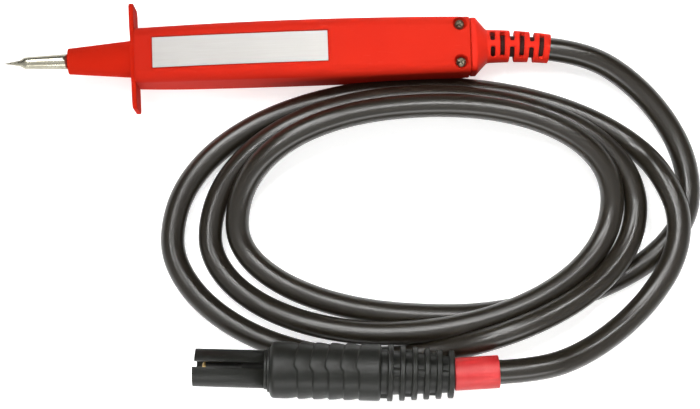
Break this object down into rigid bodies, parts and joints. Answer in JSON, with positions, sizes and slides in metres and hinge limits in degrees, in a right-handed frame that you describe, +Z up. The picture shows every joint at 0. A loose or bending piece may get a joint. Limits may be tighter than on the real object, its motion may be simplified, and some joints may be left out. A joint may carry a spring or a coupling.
{
  "type": "switched test probe",
  "caption": "Hand-held switched test probe with finger guard, push button, bent cable boot, coiled lead and keyed plug.",
  "frame": {"origin": "bottom centre of the probe itself, without its loose lead and plug, which is the plane of the table it rests on", "axes": "+X along the handle from the point to the cable boot, +Z up through the rating plate, button underneath"},
  "size_m": [0.2348, 0.1367, 0.0279],
  "materials": {
    "red_handle": "fine moulded texture, satin",
    "red_rubber": "matte",
    "black_plastic": "satin",
    "black_lead": "satin",
    "plated_metal": "polished",
    "screw_steel": "dark zinc",
    "plate_silver": "satin",
    "board_green": "solder mask",
    "contact_brass": "satin",
    "button_black": "satin"
  },
  "bodies": {
    "probe_and_lead": {"probe_tip": "plated_metal", "finger_guard_nose": "red_handle", "tip_tag": "contact_brass", "tip_nut": "plated_metal", "label_shell": "red_handle", "button_shell": "red_handle", "rating_plate": "plate_silver", "shell_screws": "screw_steel", "button_spring": "plated_metal", "switch_board": "board_green", "microswitch": "black_plastic", "switch_legs": "plated_metal", "clamp_bar": "black_plastic", "clamp_screws": "screw_steel", "cable_boot": "red_rubber", "lead_tail": "black_lead", "main_core": "red_rubber", "switch_cores": "black_lead", "plug_shroud": "black_plastic", "plug_grip": "black_plastic", "plug_insert": "black_plastic", "main_contact": "contact_brass", "switch_contacts": "contact_brass", "strain_relief": "black_plastic", "plug_tail": "black_lead", "marker_sleeve": "red_rubber", "plug_main_core": "red_rubber", "plug_switch_cores": "black_lead", "coiled_lead": "black_lead", "probe_lead": "black_lead", "plug_lead": "black_lead"},
    "button": {"push_button": "button_black"},
    "plunger": {"switch_plunger": "black_plastic"}
  },
  "joints": [
    {"name": "button_press", "type": "slide", "parent": "probe_and_lead", "child": "button", "axis": [0, 0, 1], "range_m": [0, 0.0016], "stiffness_N_per_m": 500, "springref_m": -0.001, "deforming": ["button_spring"]},
    {"name": "plunger_press", "type": "slide", "parent": "probe_and_lead", "child": "plunger", "axis": [0, 0, 1], "range_m": [0, 0.0008]}
  ],
  "couplings": [
    {"joint": "plunger_press", "follows": "button_press", "ratio": 0.5}
  ]
}
